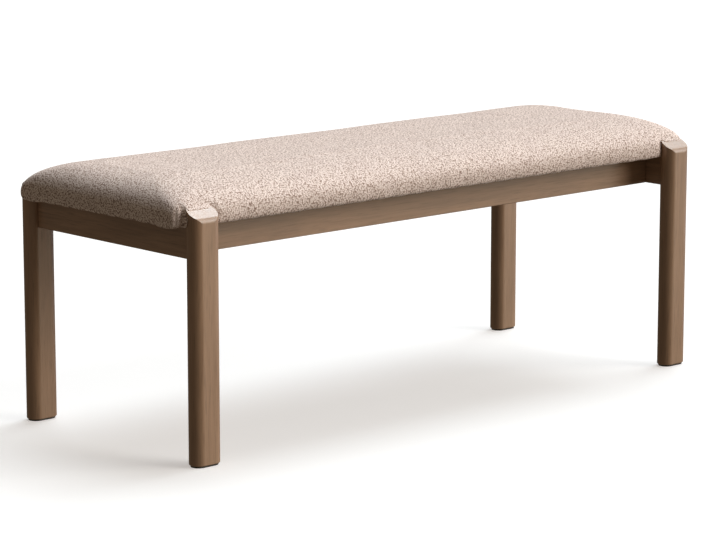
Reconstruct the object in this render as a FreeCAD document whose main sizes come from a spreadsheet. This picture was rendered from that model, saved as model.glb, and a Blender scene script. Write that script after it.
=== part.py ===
import FreeCAD, Part
import math
import os
import Sketcher

# Upholstered bench, in millimetres. +Z is up, the floor is Z = 0, and the origin is on the floor
# under the middle of the seat. X runs along the bench, and the front of the bench faces -Y.
# Each corner joint is made once and mirrored, so left and right, and front and back, always match.

SIZES = {
    # legs: stadium section, flat faces towards the front and the back
    "leg_spacing_length": 1200,
    "leg_spacing_depth": 470,
    "leg_width": 60,
    "leg_depth": 35,
    "leg_top": 455,
    "leg_top_slope": 32,
    "leg_nose_radius": 12,
    "leg_foot_chamfer": 1.5,
    # glides under the legs, each held by two nails
    "glide_thickness": 3,
    "glide_inset": 3,
    "nail_spacing": 26,
    "nail_diameter": 2,
    "nail_head_diameter": 5.5,
    "nail_head_thickness": 0.8,
    "nail_head_recess": 0.8,
    "nail_depth_in_leg": 14,
    # rails: the end rails stand between the legs, the long rails between the end rails
    "rail_top": 417,
    "rail_height": 57,
    "long_rail_thickness": 25,
    "rail_setback": 44.5,
    "edge_ease": 1.2,
    # cross bearers between the long rails
    "bearer_spacing": 390,
    "bearer_width": 30,
    "bearer_height": 42,
    # corner blocks in the frame's inner corners
    "block_width": 42,
    "block_height": 40,
    "block_drop": 2,
    "block_corner_cut": 12,
    # dowels
    "dowel_diameter": 8,
    "dowel_length": 36,
    "dowel_chamfer": 1,
    "dowel_depth_in_leg": 18,
    "dowel_depth_in_rail": 15,
    "rail_dowel_pitch": 24,
    "bearer_dowel_pitch": 20,
    # countersunk wood screws
    "screw_diameter": 4,
    "screw_head_diameter": 8,
    "screw_point": 5,
    "screw_recess_width": 0.9,
    "screw_recess_span": 4,
    "screw_recess_depth": 1.5,
    "block_screw_inset": 9,
    "block_screw_pitch": 18,
    "block_screw_stagger": 7,
    "block_screw_bite": 16,
    "bearer_screw_spacing": 180,
    "bearer_screw_bite": 9,
    # seat bolts, washers and tee nuts
    "bolt_diameter": 6,
    "bolt_inset": 27,
    "bolt_head_diameter": 11,
    "bolt_head_height": 3.5,
    "bolt_socket_width": 4,
    "bolt_socket_depth": 2.2,
    "bolt_end_gap": 1,
    "washer_diameter": 18,
    "washer_thickness": 1.5,
    "tee_nut_barrel_diameter": 7.8,
    "tee_nut_barrel_length": 9,
    "tee_nut_flange_diameter": 19,
    "tee_nut_flange_thickness": 1.2,
    # clearances: on the diameter of a hole, past the end of what is in it, and beside soft pieces
    "fit_clearance": 0.1,
    "hole_end_gap": 1,
    "soft_gap": 0.3,
    "leg_to_seat_gap": 0.5,
    # seat board
    "board_thickness": 12,
    "board_edge_margin": 4,
    "board_corner_radius": 16,
    # cushion form: it bulges over the board's edge and rolls over into a flat crown
    "pad_end_overhang": 14,
    "pad_end_bulge": 7,
    "pad_side_bulge": 17,
    "pad_bulge_height": 17,
    "pad_rise": 52.4,
    "pad_end_roll": 82,
    "pad_side_roll": 150,
    "pad_end_power": 2.2,
    "pad_side_power": 2.4,
    "pad_corner_radius": 20,
    "pad_crown_corner_growth": 30,
    # cloth of the cover, its hem and the dust cover beside the hem, which carry the board together
    "cover_thickness": 1.2,
    "hem_width": 24,
    # foam slab inside the wadding
    "foam_end_margin": 9,
    "foam_side_margin": 11,
    "foam_height": 43.5,
    "foam_corner_radius": 45,
    "foam_edge_radius": 32,
}

# how far a cutting outline reaches past the solid that it trims
CUT_MARGIN = 10

doc = FreeCAD.newDocument("upholstered_bench")
sheet = doc.addObject("Spreadsheet::Sheet", "Sizes")
for row, (alias, number) in enumerate(SIZES.items(), start=1):
    sheet.set(f"A{row}", alias)
    sheet.set(f"B{row}", str(number))
    sheet.setAlias(f"B{row}", alias)
doc.recompute()

# Places that several pieces share, as expressions on the sheet
LEG_X = "(Sizes.leg_spacing_length / 2)"
LEG_Y = "(Sizes.leg_spacing_depth / 2)"
LEG_INNER_Y = f"({LEG_Y} - Sizes.leg_depth / 2)"
END_RAIL_THICKNESS = "(Sizes.leg_width - Sizes.leg_depth)"
END_RAIL_INNER_X = f"({LEG_X} - {END_RAIL_THICKNESS} / 2)"
LONG_RAIL_Y = f"({LEG_INNER_Y} - Sizes.rail_setback - Sizes.long_rail_thickness / 2)"
LONG_RAIL_INNER_Y = f"({LONG_RAIL_Y} - Sizes.long_rail_thickness / 2)"
RAIL_BOTTOM = "(Sizes.rail_top - Sizes.rail_height)"
RAIL_MIDDLE = "(Sizes.rail_top - Sizes.rail_height / 2)"
BEARER_X = "(Sizes.bearer_spacing / 2)"
BEARER_BOTTOM = "(Sizes.rail_top - Sizes.bearer_height)"
BLOCK_BOTTOM = "(Sizes.rail_top - Sizes.block_drop - Sizes.block_height)"
BLOCK_SCREW_LOW = "((Sizes.block_height - Sizes.block_screw_pitch - Sizes.block_screw_stagger) / 2)"
BLOCK_SCREW_LENGTH = "(Sizes.block_width + Sizes.block_screw_bite)"
BOLT_X = f"({END_RAIL_INNER_X} - Sizes.bolt_inset)"
BOLT_Y = f"({LONG_RAIL_INNER_Y} - Sizes.bolt_inset)"
BEARER_SCREW_Y = "(Sizes.bearer_screw_spacing / 2)"
BEARER_SCREW_LENGTH = "(Sizes.bearer_height + Sizes.cover_thickness + Sizes.bearer_screw_bite)"
BOARD_BOTTOM = "(Sizes.rail_top + Sizes.cover_thickness)"
BOARD_TOP = f"({BOARD_BOTTOM} + Sizes.board_thickness)"
PAD_BASE_LENGTH = f"(2 * ({LEG_X} + Sizes.leg_width / 2 + Sizes.pad_end_overhang))"
PAD_BASE_DEPTH = f"(2 * ({LEG_INNER_Y} - Sizes.leg_to_seat_gap))"
BOARD_LENGTH = f"({PAD_BASE_LENGTH} - 2 * Sizes.board_edge_margin)"
BOARD_DEPTH = f"({PAD_BASE_DEPTH} - 2 * Sizes.board_edge_margin)"
FOAM_LENGTH = f"({BOARD_LENGTH} - 2 * Sizes.foam_end_margin)"
FOAM_DEPTH = f"({BOARD_DEPTH} - 2 * Sizes.foam_side_margin)"
FIT_HOLE = "Sizes.fit_clearance"

# Heights of the cushion's sections, as shares: below the bulge, and above it up to the crown
TUCK_STEPS = (1.0, 0.85, 0.5)
ROLL_STEPS = (0.0, 0.35, 0.62, 0.82, 0.93, 0.98, 0.996, 1.0)


def size(expression):
    """The number that an expression on the sheet gives."""
    return float(sheet.evalExpression(expression))


def new_body(label):
    """An empty body with its label."""
    body = doc.addObject("PartDesign::Body", label)
    body.Label = label
    return body


def origin_feature(body, role):
    """The plane or axis of a body's origin that has this role."""
    return next(item for item in body.Origin.OriginFeatures if item.Role == role)


def new_sketch(body, role, x="0", y="0", z="0"):
    """A sketch on an origin plane, with its own origin moved by x and y along it and by z off it."""
    sketch = body.newObject("Sketcher::SketchObject", f"{body.Label}_sketch")
    sketch.AttachmentSupport = [(origin_feature(body, role), "")]
    sketch.MapMode = "FlatFace"
    for axis, expression in zip("xyz", (x, y, z)):
        sketch.setExpression(f"AttachmentOffset.Base.{axis}", expression)
    return sketch


def constrain(sketch, name, expression, *arguments):
    """A named constraint whose value follows an expression."""
    kind, *references = arguments
    value = size(expression)
    if kind == "Angle":
        value = math.radians(value)
    index = sketch.addConstraint(Sketcher.Constraint(kind, *references, value))
    sketch.renameConstraint(index, name)
    sketch.setExpression(f"Constraints.{name}", expression)


def line(sketch, start, end):
    """A straight line between two points of a sketch."""
    return sketch.addGeometry(Part.LineSegment(FreeCAD.Vector(*start, 0), FreeCAD.Vector(*end, 0)), False)


def arc(sketch, centre, radius, start, end):
    """An arc, anticlockwise between two angles in degrees."""
    round_line = Part.Circle(FreeCAD.Vector(*centre, 0), FreeCAD.Vector(0, 0, 1), radius)
    return sketch.addGeometry(Part.ArcOfCircle(round_line, math.radians(start), math.radians(end)), False)


def polygon(sketch, points):
    """A closed outline through corners given as pairs of expressions, none of them negative."""
    corners = [(size(x), size(y)) for x, y in points]
    count = len(points)
    for index in range(count):
        line(sketch, corners[index], corners[(index + 1) % count])
    for index in range(count):
        sketch.addConstraint(Sketcher.Constraint("Coincident", index, 2, (index + 1) % count, 1))
    for index, (x, y) in enumerate(points):
        for kind, expression, axis in (("DistanceX", x, -2), ("DistanceY", y, -1)):
            if expression == "0":
                sketch.addConstraint(Sketcher.Constraint("PointOnObject", index, 1, axis))
            else:
                constrain(sketch, f"{kind}_{index}", expression, kind, -1, 1, index, 1)


def rectangle(sketch, width, height):
    """A rectangle centred on the sketch's origin."""
    half_x, half_y = size(width) / 2, size(height) / 2
    corners = [(-half_x, -half_y), (half_x, -half_y), (half_x, half_y), (-half_x, half_y)]
    for index in range(4):
        line(sketch, corners[index], corners[(index + 1) % 4])
    for index in range(4):
        sketch.addConstraint(Sketcher.Constraint("Coincident", index, 2, (index + 1) % 4, 1))
        sketch.addConstraint(Sketcher.Constraint("Vertical" if index % 2 else "Horizontal", index))
    sketch.addConstraint(Sketcher.Constraint("Symmetric", 0, 1, 2, 1, -1, 1))
    constrain(sketch, "width", width, "DistanceX", 0, 1, 0, 2)
    constrain(sketch, "height", height, "DistanceY", 1, 1, 1, 2)


def rounded_rectangle(sketch, width, height, radius):
    """A rectangle with round corners, centred on the sketch's origin."""
    half_x, half_y, corner = size(width) / 2, size(height) / 2, size(radius)
    straight_x, straight_y = half_x - corner, half_y - corner
    sides = [((-straight_x, -half_y), (straight_x, -half_y)), ((half_x, -straight_y), (half_x, straight_y)),
             ((straight_x, half_y), (-straight_x, half_y)), ((-half_x, straight_y), (-half_x, -straight_y))]
    for start, end in sides:
        line(sketch, start, end)
    centres = [(straight_x, -straight_y), (straight_x, straight_y),
               (-straight_x, straight_y), (-straight_x, -straight_y)]
    for index, centre in enumerate(centres):
        arc(sketch, centre, corner, 90 * index - 90, 90 * index)
    for index in range(4):
        sketch.addConstraint(Sketcher.Constraint("Tangent", index, 2, 4 + index, 1))
        sketch.addConstraint(Sketcher.Constraint("Tangent", 4 + index, 2, (index + 1) % 4, 1))
        sketch.addConstraint(Sketcher.Constraint("Vertical" if index % 2 else "Horizontal", index))
    for index in range(5, 8):
        sketch.addConstraint(Sketcher.Constraint("Equal", 4, index))
    sketch.addConstraint(Sketcher.Constraint("Symmetric", 0, 1, 2, 1, -1, 1))
    constrain(sketch, "radius", radius, "Radius", 4)
    constrain(sketch, "width", width, "DistanceX", 3, 1, 1, 1)
    constrain(sketch, "height", height, "DistanceY", 0, 1, 2, 2)


def stadium(sketch, width, depth):
    """Two straight sides joined by half circles, centred on the sketch's origin."""
    radius = size(depth) / 2
    straight = size(width) / 2 - radius
    line(sketch, (-straight, -radius), (straight, -radius))
    arc(sketch, (straight, 0), radius, -90, 90)
    line(sketch, (straight, radius), (-straight, radius))
    arc(sketch, (-straight, 0), radius, 90, 270)
    for index in range(4):
        sketch.addConstraint(Sketcher.Constraint("Tangent", index, 2, (index + 1) % 4, 1))
    sketch.addConstraint(Sketcher.Constraint("Equal", 1, 3))
    sketch.addConstraint(Sketcher.Constraint("Horizontal", 0))
    sketch.addConstraint(Sketcher.Constraint("Symmetric", 1, 3, 3, 3, -1, 1))
    constrain(sketch, "end_radius", f"({depth}) / 2", "Radius", 1)
    constrain(sketch, "straight", f"({width}) - ({depth})", "DistanceX", 3, 3, 1, 3)


def circle(sketch, diameter):
    """A circle on the sketch's origin."""
    sketch.addGeometry(Part.Circle(FreeCAD.Vector(), FreeCAD.Vector(0, 0, 1), size(diameter) / 2), False)
    sketch.addConstraint(Sketcher.Constraint("Coincident", 0, 3, -1, 1))
    constrain(sketch, "diameter", diameter, "Diameter", 0)


def circle_pair(sketch, diameter, pitch, along):
    """Two equal circles set a pitch apart about the sketch's origin, along its x or its y."""
    half = size(pitch) / 2
    for side in (-half, half):
        centre = FreeCAD.Vector(side, 0, 0) if along == "x" else FreeCAD.Vector(0, side, 0)
        sketch.addGeometry(Part.Circle(centre, FreeCAD.Vector(0, 0, 1), size(diameter) / 2), False)
    sketch.addConstraint(Sketcher.Constraint("Symmetric", 0, 3, 1, 3, -1, 1))
    sketch.addConstraint(Sketcher.Constraint("PointOnObject", 0, 3, -1 if along == "x" else -2))
    sketch.addConstraint(Sketcher.Constraint("Equal", 0, 1))
    constrain(sketch, "diameter", diameter, "Diameter", 0)
    constrain(sketch, "pitch", pitch, "DistanceX" if along == "x" else "DistanceY", 0, 3, 1, 3)


def hexagon(sketch, across_flats):
    """A regular hexagon centred on the sketch's origin, with two flats along x."""
    radius = size(across_flats) / math.sqrt(3)
    corners = [(radius * math.cos(math.radians(60 * index)), radius * math.sin(math.radians(60 * index)))
               for index in range(6)]
    for index in range(6):
        line(sketch, corners[index], corners[(index + 1) % 6])
    outer = Part.Circle(FreeCAD.Vector(), FreeCAD.Vector(0, 0, 1), radius)
    sketch.addGeometry(outer, True)
    sketch.addConstraint(Sketcher.Constraint("Coincident", 6, 3, -1, 1))
    for index in range(6):
        sketch.addConstraint(Sketcher.Constraint("Coincident", index, 2, (index + 1) % 6, 1))
        sketch.addConstraint(Sketcher.Constraint("PointOnObject", index, 1, 6))
    for index in range(1, 6):
        sketch.addConstraint(Sketcher.Constraint("Equal", 0, index))
    sketch.addConstraint(Sketcher.Constraint("PointOnObject", 0, 1, -1))
    constrain(sketch, "corner_circle", f"({across_flats}) * 2 / sqrt(3)", "Diameter", 6)


def feature(body, kind, sketch):
    """A new feature of a body on a sketch."""
    item = body.newObject(f"PartDesign::{kind}", f"{body.Label}_{kind.lower()}")
    item.Profile = (sketch, [""])
    return item


def pad(body, sketch, length):
    """Material along the sketch's normal."""
    item = feature(body, "Pad", sketch)
    item.setExpression("Length", length)
    doc.recompute()
    return item


def check_cut(item, before):
    """Stops the script when a cut has removed nothing."""
    if not item.Shape.Volume < before:
        raise RuntimeError(f"{item.Label} removed no material")
    return item


def pocket(body, sketch, length, reverse=False, both_sides=False):
    """A cut against the sketch's normal, along it when reversed, or half each way."""
    before = body.Tip.Shape.Volume
    item = feature(body, "Pocket", sketch)
    item.Reversed = reverse
    if both_sides:
        item.SideType = "Symmetric"
    item.setExpression("Length", length)
    doc.recompute()
    return check_cut(item, before)


def turned(body, sketch, axis):
    """A turned solid about the sketch's H_Axis or V_Axis."""
    item = feature(body, "Revolution", sketch)
    item.ReferenceAxis = (sketch, [axis])
    item.Angle = 360
    doc.recompute()
    return item


def turned_cut(body, sketch, axis):
    """A turned cut about the sketch's H_Axis or V_Axis."""
    before = body.Tip.Shape.Volume
    item = feature(body, "Groove", sketch)
    item.ReferenceAxis = (sketch, [axis])
    item.Angle = 360
    doc.recompute()
    return check_cut(item, before)


def repeat(body, originals, mirrors=(), spacing=None, direction="Z_Axis"):
    """Copies of features: once more at a spacing along an axis, then all mirrored in origin planes."""
    pattern = body.newObject("PartDesign::MultiTransform", f"{body.Label}_copies")
    pattern.Originals = originals
    steps = []
    if spacing:
        step = body.newObject("PartDesign::LinearPattern", f"{body.Label}_row")
        step.Direction = (origin_feature(body, direction), [""])
        step.Mode = "Spacing"
        step.Occurrences = 2
        step.setExpression("Offset", spacing)
        steps.append(step)
    for role in mirrors:
        step = body.newObject("PartDesign::Mirrored", f"{body.Label}_mirror")
        step.MirrorPlane = (origin_feature(body, role), [""])
        steps.append(step)
    pattern.Transformations = steps
    body.Tip = pattern
    doc.recompute()
    return pattern


def ease_edges(body, kind, amount, chosen):
    """A chamfer or fillet on the edges of a body that the test picks."""
    base = body.Tip
    names = [f"Edge{index + 1}" for index, edge in enumerate(base.Shape.Edges) if chosen(edge)]
    item = body.newObject(f"PartDesign::{kind}", f"{body.Label}_{kind.lower()}")
    item.Base = (base, names)
    item.setExpression("Size" if kind == "Chamfer" else "Radius", amount)
    doc.recompute()
    return item


def place(body, x, y, z, turn=0):
    """Puts a body at a place that follows the sheet, turned about Z by so many degrees."""
    body.Placement = FreeCAD.Placement(FreeCAD.Vector(), FreeCAD.Rotation(FreeCAD.Vector(0, 0, 1), turn))
    for axis, expression in zip("xyz", (x, y, z)):
        body.setExpression(f"Placement.Base.{axis}", expression)


def leg_blank(label, clearance="0"):
    """A leg's outer form about its own axis, outer face towards +Y, grown all round by a clearance.

    The stadium section stands up from the foot. Its top falls outwards in a plane that turns
    through an arc, the nose, into the flat outer face.
    """
    body = new_body(label)
    width = f"(Sizes.leg_width + 2 * {clearance})"
    depth = f"(Sizes.leg_depth + 2 * {clearance})"
    top = f"(Sizes.leg_top - Sizes.glide_thickness + {clearance})"
    nose = f"(Sizes.leg_nose_radius + {clearance})"
    outline = new_sketch(body, "XY_Plane")
    stadium(outline, width, depth)
    pad(body, outline, top)

    bevel = new_sketch(body, "YZ_Plane", x=f"-{depth} / 2")
    slope, radius = math.radians(size("Sizes.leg_top_slope")), size(nose)
    across, high = size(depth), size(top)
    centre_y = across - radius
    centre_z = high - math.tan(slope) * centre_y - radius / math.cos(slope)
    start = (centre_y + radius * math.sin(slope), centre_z + radius * math.cos(slope))
    far_y, far_z = across + CUT_MARGIN, high + CUT_MARGIN
    line(bevel, start, (0, high))
    line(bevel, (0, high), (0, far_z))
    line(bevel, (0, far_z), (far_y, far_z))
    line(bevel, (far_y, far_z), (far_y, centre_z))
    line(bevel, (far_y, centre_z), (across, centre_z))
    arc(bevel, (centre_y, centre_z), radius, 0, 90 - size("Sizes.leg_top_slope"))
    for index in range(4):
        bevel.addConstraint(Sketcher.Constraint("Coincident", index, 2, index + 1, 1))
        bevel.addConstraint(Sketcher.Constraint("Horizontal" if index % 2 else "Vertical", index + 1))
    bevel.addConstraint(Sketcher.Constraint("Coincident", 4, 2, 5, 1))
    bevel.addConstraint(Sketcher.Constraint("Tangent", 5, 2, 0, 1))
    bevel.addConstraint(Sketcher.Constraint("Horizontal", 5, 1, 5, 3))
    bevel.addConstraint(Sketcher.Constraint("PointOnObject", 0, 2, -2))
    constrain(bevel, "top", top, "DistanceY", -1, 1, 0, 2)
    constrain(bevel, "slope", "180 - Sizes.leg_top_slope", "Angle", 0)
    constrain(bevel, "nose", nose, "Radius", 5)
    constrain(bevel, "nose_place", f"{depth} - {nose}", "DistanceX", -1, 1, 5, 3)
    constrain(bevel, "reach_up", str(CUT_MARGIN), "DistanceY", 1, 1, 1, 2)
    constrain(bevel, "reach_out", f"{depth} + {CUT_MARGIN}", "DistanceX", -1, 1, 2, 2)
    pocket(body, bevel, f"{width} + 2 * {CUT_MARGIN}", both_sides=True)
    return body


def leg(label, x, y, turn):
    """A leg with its eased foot, its dowel holes for the end rail and its glide's nail holes."""
    body = leg_blank(label)
    ease_edges(body, "Chamfer", "Sizes.leg_foot_chamfer",
               lambda edge: all(abs(vertex.Z) < 0.001 for vertex in edge.Vertexes))
    dowels = new_sketch(body, "XZ_Plane", y=f"{RAIL_MIDDLE} - Sizes.glide_thickness", z="Sizes.leg_depth / 2")
    circle_pair(dowels, f"Sizes.dowel_diameter + {FIT_HOLE}", "Sizes.rail_dowel_pitch", "y")
    pocket(body, dowels, "Sizes.dowel_depth_in_leg + Sizes.hole_end_gap")
    nails = new_sketch(body, "XY_Plane")
    circle_pair(nails, f"Sizes.nail_diameter + {FIT_HOLE}", "Sizes.nail_spacing", "x")
    pocket(body, nails, "Sizes.nail_depth_in_leg + Sizes.hole_end_gap", reverse=True)
    place(body, x, y, "Sizes.glide_thickness", turn)
    return body


def glide(label, x, y):
    """A plastic pad under a leg, a little smaller than the foot, with two counterbored nail holes."""
    body = new_body(label)
    outline = new_sketch(body, "XY_Plane")
    stadium(outline, "Sizes.leg_width - 2 * Sizes.glide_inset", "Sizes.leg_depth - 2 * Sizes.glide_inset")
    pad(body, outline, "Sizes.glide_thickness")
    holes = new_sketch(body, "XY_Plane")
    circle_pair(holes, f"Sizes.nail_diameter + {FIT_HOLE}", "Sizes.nail_spacing", "x")
    pocket(body, holes, "Sizes.glide_thickness", reverse=True)
    heads = new_sketch(body, "XY_Plane")
    circle_pair(heads, f"Sizes.nail_head_diameter + {FIT_HOLE}", "Sizes.nail_spacing", "x")
    pocket(body, heads, "Sizes.nail_head_recess + Sizes.nail_head_thickness", reverse=True)
    place(body, x, y, "0")
    return body


def glide_nails():
    """Two flat-headed nails up through each glide into its leg."""
    body = new_body("glide_nails")
    profile = new_sketch(body, "XZ_Plane", x=f"{LEG_X} - Sizes.nail_spacing / 2",
                         y="Sizes.nail_head_recess", z=f"-{LEG_Y}")
    shank = "Sizes.nail_diameter / 2"
    tip = "Sizes.glide_thickness - Sizes.nail_head_recess + Sizes.nail_depth_in_leg"
    polygon(profile, [("0", "0"), ("Sizes.nail_head_diameter / 2", "0"),
                      ("Sizes.nail_head_diameter / 2", "Sizes.nail_head_thickness"),
                      (shank, "Sizes.nail_head_thickness"), (shank, f"{tip} - Sizes.nail_diameter"),
                      ("0", tip)])
    nail = turned(body, profile, "V_Axis")
    repeat(body, [nail], ("YZ_Plane", "XZ_Plane"), "Sizes.nail_spacing", "X_Axis")
    return body


def long_rail(label, y, turn):
    """A long rail between the end rails, outer face towards +Y, with holes in its ends and inner face."""
    body = new_body(label)
    length = f"(2 * {END_RAIL_INNER_X})"
    outline = new_sketch(body, "XY_Plane")
    rectangle(outline, length, "Sizes.long_rail_thickness")
    pad(body, outline, "Sizes.rail_height")
    ease_edges(body, "Chamfer", "Sizes.edge_ease", lambda edge: True)

    end_dowels = new_sketch(body, "YZ_Plane", y="Sizes.rail_height / 2", z=f"{length} / 2")
    circle_pair(end_dowels, f"Sizes.dowel_diameter + {FIT_HOLE}", "Sizes.rail_dowel_pitch", "y")
    inside = "Sizes.long_rail_thickness / 2"
    block_screws = new_sketch(body, "XZ_Plane", x=f"{length} / 2 - Sizes.block_screw_inset",
                              y=f"{BLOCK_BOTTOM} - {RAIL_BOTTOM} + {BLOCK_SCREW_LOW}"
                                " + Sizes.block_screw_stagger + Sizes.block_screw_pitch / 2", z=inside)
    circle_pair(block_screws, f"Sizes.screw_diameter + {FIT_HOLE}", "Sizes.block_screw_pitch", "y")
    bearer_dowels = new_sketch(body, "XZ_Plane", x=BEARER_X,
                               y=f"{BEARER_BOTTOM} - {RAIL_BOTTOM} + Sizes.bearer_height / 2", z=inside)
    circle_pair(bearer_dowels, f"Sizes.dowel_diameter + {FIT_HOLE}", "Sizes.bearer_dowel_pitch", "y")
    holes = [pocket(body, end_dowels,
                    "Sizes.dowel_length - Sizes.dowel_depth_in_rail + Sizes.hole_end_gap"),
             pocket(body, block_screws, "Sizes.block_screw_bite + Sizes.hole_end_gap"),
             pocket(body, bearer_dowels, "Sizes.dowel_depth_in_rail + Sizes.hole_end_gap")]
    repeat(body, holes, ("YZ_Plane",))
    place(body, "0", y, RAIL_BOTTOM, turn)
    return body


def end_rail(label, x, turn):
    """A rail between two legs, outer face towards +X, with holes in its ends and inner face."""
    body = new_body(label)
    length = f"(2 * {LEG_INNER_Y})"
    outline = new_sketch(body, "XY_Plane")
    rectangle(outline, END_RAIL_THICKNESS, length)
    pad(body, outline, "Sizes.rail_height")
    ease_edges(body, "Chamfer", "Sizes.edge_ease", lambda edge: True)

    leg_dowels = new_sketch(body, "XZ_Plane", y="Sizes.rail_height / 2", z=f"-{length} / 2")
    circle_pair(leg_dowels, f"Sizes.dowel_diameter + {FIT_HOLE}", "Sizes.rail_dowel_pitch", "y")
    inside = f"-{END_RAIL_THICKNESS} / 2"
    rail_dowels = new_sketch(body, "YZ_Plane", x=LONG_RAIL_Y, y="Sizes.rail_height / 2", z=inside)
    circle_pair(rail_dowels, f"Sizes.dowel_diameter + {FIT_HOLE}", "Sizes.rail_dowel_pitch", "y")
    block_screws = new_sketch(body, "YZ_Plane", x=f"{LONG_RAIL_INNER_Y} - Sizes.block_screw_inset",
                              y=f"{BLOCK_BOTTOM} - {RAIL_BOTTOM} + {BLOCK_SCREW_LOW}"
                                " + Sizes.block_screw_pitch / 2", z=inside)
    circle_pair(block_screws, f"Sizes.screw_diameter + {FIT_HOLE}", "Sizes.block_screw_pitch", "y")
    holes = [pocket(body, leg_dowels,
                    "Sizes.dowel_length - Sizes.dowel_depth_in_leg + Sizes.hole_end_gap", reverse=True),
             pocket(body, rail_dowels, "Sizes.dowel_depth_in_rail + Sizes.hole_end_gap", reverse=True),
             pocket(body, block_screws, "Sizes.block_screw_bite + Sizes.hole_end_gap", reverse=True)]
    repeat(body, holes, ("XZ_Plane",))
    place(body, x, "0", RAIL_BOTTOM, turn)
    return body


def bearer(label, x):
    """A cross bearer between the long rails, with dowelled ends and two screw holes up through it."""
    body = new_body(label)
    length = f"(2 * {LONG_RAIL_INNER_Y})"
    outline = new_sketch(body, "XY_Plane")
    rectangle(outline, "Sizes.bearer_width", length)
    pad(body, outline, "Sizes.bearer_height")
    ease_edges(body, "Chamfer", "Sizes.edge_ease", lambda edge: True)

    dowels = new_sketch(body, "XZ_Plane", y="Sizes.bearer_height / 2", z=f"-{length} / 2")
    circle_pair(dowels, f"Sizes.dowel_diameter + {FIT_HOLE}", "Sizes.bearer_dowel_pitch", "y")
    dowel_holes = pocket(body, dowels, "Sizes.dowel_length - Sizes.dowel_depth_in_rail"
                                       " + Sizes.hole_end_gap", reverse=True)
    screw = new_sketch(body, "XZ_Plane", z=f"-{BEARER_SCREW_Y}")
    upright_screw(screw, BEARER_SCREW_LENGTH, FIT_HOLE)
    screw_hole = turned_cut(body, screw, "V_Axis")
    repeat(body, [dowel_holes, screw_hole], ("XZ_Plane",))
    place(body, x, "0", BEARER_BOTTOM)
    return body


def dowel_group(label, role, x, y, z, pitch):
    """Eight chamfered dowels: two above each other at each of four mirrored joints.

    The profile's long side lies on the dowel's axis, along the sketch's x.
    """
    body = new_body(label)
    profile = new_sketch(body, role, x, y, z)
    radius = "Sizes.dowel_diameter / 2"
    polygon(profile, [("0", "0"), ("Sizes.dowel_length", "0"),
                      ("Sizes.dowel_length", f"{radius} - Sizes.dowel_chamfer"),
                      ("Sizes.dowel_length - Sizes.dowel_chamfer", radius),
                      ("Sizes.dowel_chamfer", radius), ("0", f"{radius} - Sizes.dowel_chamfer")])
    dowel = turned(body, profile, "H_Axis")
    repeat(body, [dowel], ("YZ_Plane", "XZ_Plane"), pitch)
    return body


def lying_screw(sketch, length, clearance="0"):
    """Half outline of a countersunk screw along the sketch's x, point first."""
    shank = f"(Sizes.screw_diameter + {clearance}) / 2"
    head = f"(Sizes.screw_head_diameter + {clearance}) / 2"
    polygon(sketch, [("0", "0"), (length, "0"), (length, head), (f"{length} - {head} + {shank}", shank),
                     ("Sizes.screw_point", shank)])


def upright_screw(sketch, length, clearance="0"):
    """Half outline of a countersunk screw along the sketch's y, head first."""
    shank = f"(Sizes.screw_diameter + {clearance}) / 2"
    head = f"(Sizes.screw_head_diameter + {clearance}) / 2"
    polygon(sketch, [("0", "0"), (head, "0"), (shank, f"{head} - {shank}"),
                     (shank, f"{length} - Sizes.screw_point"), ("0", length)])


def cross_recess(body, role, x, y, z, reverse):
    """The crossed slots in a screw's head, as two cuts."""
    cuts = []
    for width, height in (("Sizes.screw_recess_span", "Sizes.screw_recess_width"),
                          ("Sizes.screw_recess_width", "Sizes.screw_recess_span")):
        slot = new_sketch(body, role, x, y, z)
        rectangle(slot, width, height)
        cuts.append(pocket(body, slot, "Sizes.screw_recess_depth", reverse))
    return cuts


def corner_block(label):
    """The corner block of the front left corner, with its cut corner and its screw and bolt holes."""
    body = new_body(label)
    width, cut = "Sizes.block_width", "Sizes.block_width - Sizes.block_corner_cut"
    outline = new_sketch(body, "XY_Plane")
    polygon(outline, [("0", "0"), (width, "0"), (width, cut), (cut, width), ("0", width)])
    pad(body, outline, "Sizes.block_height")
    into_end_rail = new_sketch(body, "XZ_Plane", x="-Sizes.block_screw_bite", y=BLOCK_SCREW_LOW,
                               z="-Sizes.block_screw_inset")
    lying_screw(into_end_rail, BLOCK_SCREW_LENGTH, FIT_HOLE)
    into_long_rail = new_sketch(body, "YZ_Plane", x="-Sizes.block_screw_bite",
                                y=f"{BLOCK_SCREW_LOW} + Sizes.block_screw_stagger",
                                z="Sizes.block_screw_inset")
    lying_screw(into_long_rail, BLOCK_SCREW_LENGTH, FIT_HOLE)
    holes = [turned_cut(body, into_end_rail, "H_Axis"), turned_cut(body, into_long_rail, "H_Axis")]
    repeat(body, holes, spacing="Sizes.block_screw_pitch")
    bolt = new_sketch(body, "XY_Plane", x="Sizes.bolt_inset", y="Sizes.bolt_inset")
    circle(bolt, f"Sizes.bolt_diameter + {FIT_HOLE}")
    pocket(body, bolt, "Sizes.block_height", reverse=True)
    place(body, f"-{END_RAIL_INNER_X}", f"-{LONG_RAIL_INNER_Y}", BLOCK_BOTTOM)
    return body


def mirrored(label, source, normal):
    """A mirror image of a piece in the middle plane of the bench."""
    item = doc.addObject("Part::Mirroring", label)
    item.Label = label
    item.Source = source
    item.Base = FreeCAD.Vector()
    item.Normal = normal
    doc.recompute()
    return item


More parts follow.
